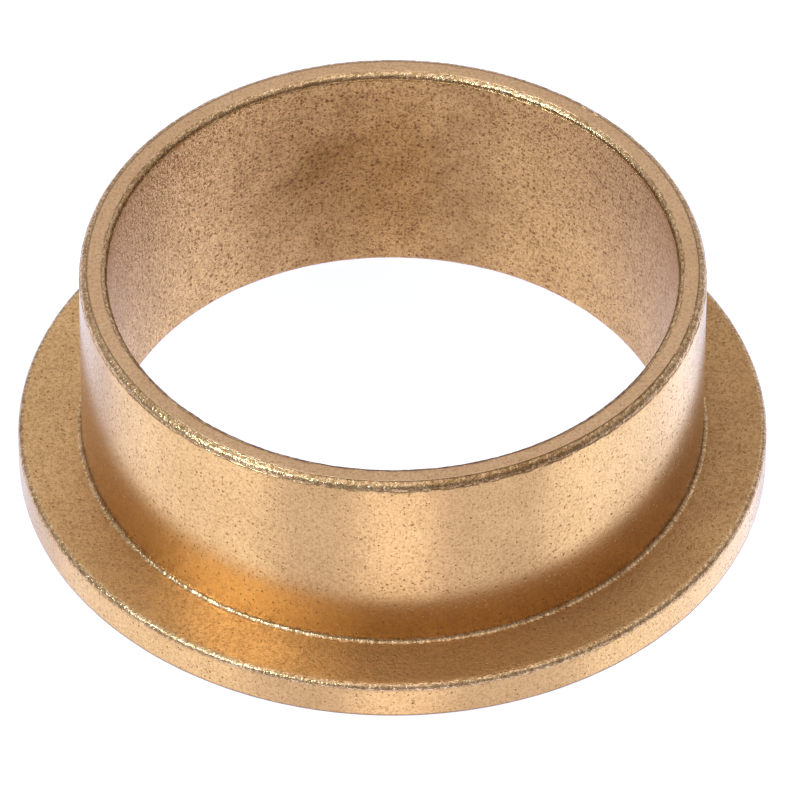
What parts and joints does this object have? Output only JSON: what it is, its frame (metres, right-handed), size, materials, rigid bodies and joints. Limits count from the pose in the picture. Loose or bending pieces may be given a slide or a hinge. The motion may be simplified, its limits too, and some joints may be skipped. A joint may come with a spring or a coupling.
{
  "type": "flanged sleeve bushing",
  "caption": "Thin-walled sintered-bronze sleeve with a flat flange round one end: a plain bearing that is pressed into a housing and carries a turning shaft.",
  "frame": {"origin": "on the bore's axis, in the plane of the flange's underside", "axes": "+Z along the bore's axis, from the flange towards the sleeve's free end; round about Z, so X and Y are free"},
  "size_m": [0.053, 0.053, 0.018],
  "materials": {
    "sintered_bronze": "satin, finely porous, burnished on the round walls"
  },
  "bodies": {
    "root": {"flanged_bushing": "sintered_bronze"}
  },
  "joints": []
}
